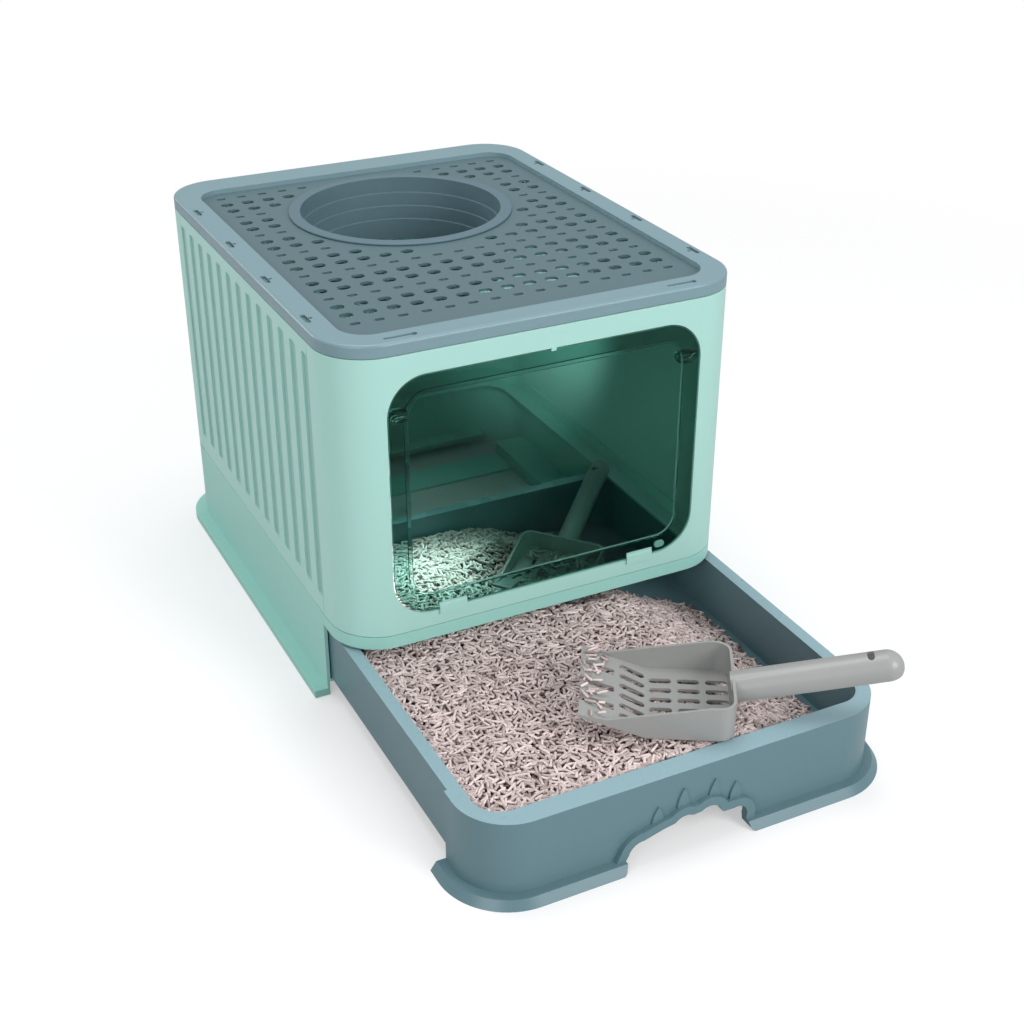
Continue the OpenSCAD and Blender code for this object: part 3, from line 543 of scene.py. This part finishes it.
def rod_faces(count):
    """Quads between the four rings and a five-sided cap at each end, for count rods one after the other."""
    first = np.arange(count)[:, None] * POINTS_PER_ROD
    k = np.arange(SIDES)
    quads = []
    for ring in range(len(RINGS) - 1):
        for i in k:
            low, low_next = SIDES * ring + i, SIDES * ring + (i + 1) % SIDES
            quads.append(first + np.array([low, low_next, low_next + SIDES, low + SIDES]))
    return [np.concatenate(quads), first + k[::-1], first + (len(RINGS) - 1) * SIDES + k]


print("points in a rod:", POINTS_PER_ROD)

# %% [markdown]
# ## Pieces of pellets
#
# The lower layer gets darker shades, because little light reaches it. The rods are sorted from front to rear
# and shared out over four meshes, so that none of them is too heavy to edit or export.

# %% Pieces of pellets
layers = [lay_rods(sink=3.3, wobble=0.7), lay_rods(sink=1.0, wobble=0.9)]
tails = np.concatenate([layer[0] for layer in layers])
heads = np.concatenate([layer[1] for layer in layers])
# the lower layer's darker mean is painted shade; the spread about each mean is the pellets' own tone
MEAN_SHADE, SHADE_SPREAD, THICKNESS_SHARE = (0.15, 0.72), 0.2, (0.92, 1.08)
shades = [rng.normal(mean, SHADE_SPREAD, len(layer[0])) for mean, layer in zip(MEAN_SHADE, layers)]
pale = np.concatenate(shades).clip(0, 1)
order = np.argsort(tails[:, 1])
PIECES = 4
for part, rows in enumerate(np.array_split(order, PIECES), start=1):
    radius = rng.uniform(*THICKNESS_SHARE, len(rows)) * ROD_R
    points = rod_points(tails[rows], heads[rows], radius) - (0, DRAWER_OPEN, 0)
    shade = np.repeat(pale[rows], POINTS_PER_ROD)
    mesh_piece(f"pellets_{part}", points, rod_faces(len(rows)), fibre_pellet, "drawer", shade)
print("pellets:", len(order))

# %% [markdown]
# ## Pellets on the scoops
#
# A few pellets lie over the tines of the outer scoop, and some in the pan of the second one. They belong to
# the scoops and are lifted with them. Their middles are drawn at random over a rectangle of the scoop's own
# plane, which is turned and tilted into place: x runs from the tines back to the handle, and z stands on the
# pan.


# %% A handful of rods on a scoop
HALVES_ON_SCOOP, PILED, RISE, SHADE_ON_SCOOP = (3.0, 6.0), (0.2, 2.6), 0.6, 0.7


def rods_on_scoop(name, body, count, x_range, half_w, base, turn, tilt, origin):
    """Rods over x_range by 2 half_w mm of a scoop's plane; base(x) is the height of its floor in mm. The
    plane is tilted about its y axis, turned about z and moved to origin."""
    x, y = rng.uniform(*x_range, count), rng.uniform(-half_w, half_w, count)
    heading, half = rng.uniform(0, math.pi, count), rng.uniform(*HALVES_ON_SCOOP, count)
    z = base(x) + ROD_R + rng.uniform(*PILED, count)
    along = np.stack([half * np.cos(heading), half * np.sin(heading), rng.uniform(-RISE, RISE, count)], 1)
    c, s = math.cos(math.radians(turn)), math.sin(math.radians(turn))
    level, up = math.cos(math.radians(tilt)), math.sin(math.radians(tilt))
    axes = np.array([[c * level, s * level, up], [-s, c, 0.0], [-c * up, -s * up, level]])
    middle = np.stack([x, y, z], 1)
    points = rod_points(middle - along, middle + along, np.full(count, ROD_R)) @ axes + np.array(origin)
    shade = np.repeat(np.clip(rng.normal(SHADE_ON_SCOOP, SHADE_SPREAD, count), 0, 1), POINTS_PER_ROD)
    return mesh_piece(name, points, rod_faces(count), fibre_pellet, body, shade)


print("rods on a scoop:", 2 * HALVES_ON_SCOOP[0], "to", 2 * HALVES_ON_SCOOP[1], "mm long")

# %% Pellets on both scoops
PAN, TINE_FROM, TINE_RUN, TINE_RISE = 2.6, -76, 34, 11.5


def rising_tines(x):
    """Height of the outer scoop's tines: the pan's own at TINE_FROM, TINE_RISE more TINE_RUN further on."""
    return PAN + TINE_RISE * (TINE_FROM - x) / TINE_RUN


def flat_pan(x):
    """The pan is level."""
    return np.full_like(x, PAN)


OUTER = {"turn": -30.3, "tilt": 0, "origin": (71, -468, 80.6)}
INNER = {"turn": SCOOP_TURN, "tilt": 9, "origin": (SCOOP_X, SCOOP_Y - DRAWER_OPEN, 55)}
OVER_TINES, IN_PAN = {"x_range": (-132, -112), "half_w": 50}, {"x_range": (-74, -10), "half_w": 36}
rods_on_scoop("pellets_on_tines", "scoop", 34, base=rising_tines, **OVER_TINES, **OUTER)
rods_on_scoop("pellets_in_pan", "inner_scoop", 60, base=flat_pan, **IN_PAN, **INNER)
print("pellets on the scoops laid")

# %% [markdown]
# ## Camera
#
# The camera stands in front and to the left, above the lid, with a moderately long lens that keeps the box's
# edges nearly parallel. It is turned by the direction in which it looks, because that is easier to read than
# three angles.

# %% Camera
CAMERA_PLACE, CAMERA_AIM = (-0.6003, -1.3824, 0.8944), (0.390, 0.783, -0.485)
LENS_MM, SENSOR_MM = 55.0, 36.0
camera = bpy.data.objects.new("camera", bpy.data.cameras.new("camera"))
bpy.context.collection.objects.link(camera)
camera.location = CAMERA_PLACE
camera.rotation_mode = "QUATERNION"
camera.rotation_quaternion = Vector(CAMERA_AIM).to_track_quat("-Z", "Y")
camera.data.lens = LENS_MM
camera.data.sensor_width = SENSOR_MM
camera.data.clip_start = 0.05
bpy.context.scene.camera = camera
print("camera", round(Vector(CAMERA_PLACE).length, 2), "m from the middle of the housing's foot")

# %% [markdown]
# ## Light
#
# Large square lamps give soft shadows: the key from the right front, a fill from the left front, one from the
# left rear that picks out the flutes, and one over the lid. Their power is set so that a colour renders about
# as it is written. The closed housing would be black inside, so two small lamps in it light the heap and the
# right wall. They are hidden from the camera, from reflections and from the view through the door.


# %% Soft studio light
def soft_box(name, place, target, size, watts):
    """Square area lamp aimed at a point."""
    lamp = bpy.data.lights.new(name, "AREA")
    lamp.shape = "SQUARE"
    lamp.size = size
    lamp.energy = watts
    holder = bpy.data.objects.new(name, lamp)
    bpy.context.collection.objects.link(holder)
    holder.location = place
    holder.rotation_mode = "QUATERNION"
    holder.rotation_quaternion = (Vector(target) - Vector(place)).to_track_quat("-Z", "Y")
    return holder


MIDDLE, LEFT_WALL, LID = (0, -0.1, 0.2), (-0.2, 0, 0.2), (0, -0.1, 0.3)
soft_box("key", (1.1, -2.5, 1.6), MIDDLE, size=1.3, watts=46)
soft_box("fill", (-1.9, -1.8, 1.1), MIDDLE, size=1.2, watts=16)
soft_box("rear", (-1.3, 1.9, 1.1), LEFT_WALL, size=0.6, watts=10)
soft_box("top", (0, 0.3, 2.6), LID, size=1.6, watts=31)
print("studio lamps:", len(bpy.data.lights))

# %% Lamps inside the housing
INSIDE_SIZE = 0.05
for name, place, target, watts, spread in (
    ("on the heap", (-0.02, -0.075, 0.345), (-0.08, -0.13, 0.07), 0.27, 44),
    ("on the right wall", (0.0, -0.13, 0.3), (0.2, 0.14, 0.19), 0.1, 45),
):
    inside = soft_box(name, place, target, INSIDE_SIZE, watts)
    inside.data.spread = math.radians(spread)
    inside.visible_camera = inside.visible_glossy = inside.visible_transmission = False
print("lamps in all:", len(bpy.data.lights))

# %% [markdown]
# ## Room and floor
#
# The room gives an even, slightly cool light, and the camera sees it plain white. The floor is matt paper: it
# takes the shadows, the camera sees it lifted towards white, and it fades into the white background between
# 0.7 and 1.6 m from the middle of the housing. Light Path's Is Camera Ray does this, so the white adds no
# light to the object.

# %% Room light
world = bpy.data.worlds.new("studio")
bpy.context.scene.world = world
world.use_nodes = True
tree = world.node_tree
tree.nodes.clear()
COOL_LIGHT, ROOM_STRENGTH, WHITE = (0.95, 0.97, 1.0, 1.0), 0.5, (1, 1, 1, 1)
seen = add_node(tree, "ShaderNodeLightPath").outputs["Is Camera Ray"]
room = add_node(tree, "ShaderNodeBackground", {"Color": COOL_LIGHT, "Strength": ROOM_STRENGTH})
plain = add_node(tree, "ShaderNodeBackground", {"Color": WHITE, "Strength": 1.0})
pick = add_node(tree, "ShaderNodeMixShader", {0: seen, 1: room.outputs[0], 2: plain.outputs[0]})
add_node(tree, "ShaderNodeOutputWorld", {0: pick.outputs[0]})
print("room light:", ROOM_STRENGTH)

# %% Floor
HALF_FLOOR = 6
floor_mesh = bpy.data.meshes.new("floor")
corners = [(HALF_FLOOR * i, HALF_FLOOR * j, 0) for i, j in ((-1, -1), (1, -1), (1, 1), (-1, 1))]
floor_mesh.from_pydata(corners, [], [(0, 1, 2, 3)])
floor = bpy.data.objects.new("floor", floor_mesh)
bpy.context.collection.objects.link(floor)
print("floor:", 2 * HALF_FLOOR, "m wide")

# %% Paper that fades into the background
PAPER, LIFT, FADE_FROM, FADE_TO = (0.55, 0.55, 0.55, 1), 0.42, 0.7, 1.6
material, tree, out = new_material("matt white paper")
seen = add_node(tree, "ShaderNodeLightPath").outputs["Is Camera Ray"]
paper = add_node(tree, "ShaderNodeBsdfDiffuse", {"Color": PAPER})
lift = add_node(tree, "ShaderNodeEmission", {"Color": WHITE, "Strength": LIFT})
both = add_node(tree, "ShaderNodeAddShader", {0: paper.outputs[0], 1: lift.outputs[0]})
pick = add_node(tree, "ShaderNodeMixShader", {0: seen, 1: paper.outputs[0], 2: both.outputs[0]})
place = add_node(tree, "ShaderNodeTexCoord").outputs["Object"]
distance = add_node(tree, "ShaderNodeVectorMath", {0: place}, operation="LENGTH").outputs["Value"]
far = add_node(tree, "ShaderNodeMapRange", {"Value": distance, "From Min": FADE_FROM, "From Max": FADE_TO})
seen_far = add_node(tree, "ShaderNodeMath", {0: far.outputs[0], 1: seen}, operation="MULTIPLY")
plain = add_node(tree, "ShaderNodeEmission", {"Color": WHITE, "Strength": 1.0})
ends = {0: seen_far.outputs[0], 1: pick.outputs[0], 2: plain.outputs[0]}
fade = add_node(tree, "ShaderNodeMixShader", ends)
tree.links.new(fade.outputs[0], out.inputs[0])
floor_mesh.materials.append(material)
print("the floor fades from", FADE_FROM, "to", FADE_TO, "m")

# %% [markdown]
# ## View and finish
#
# The Standard view transform shows a colour as it is written, where a film-like one would grey it.

# %% Plain view transform
bpy.context.scene.view_settings.view_transform = "Standard"
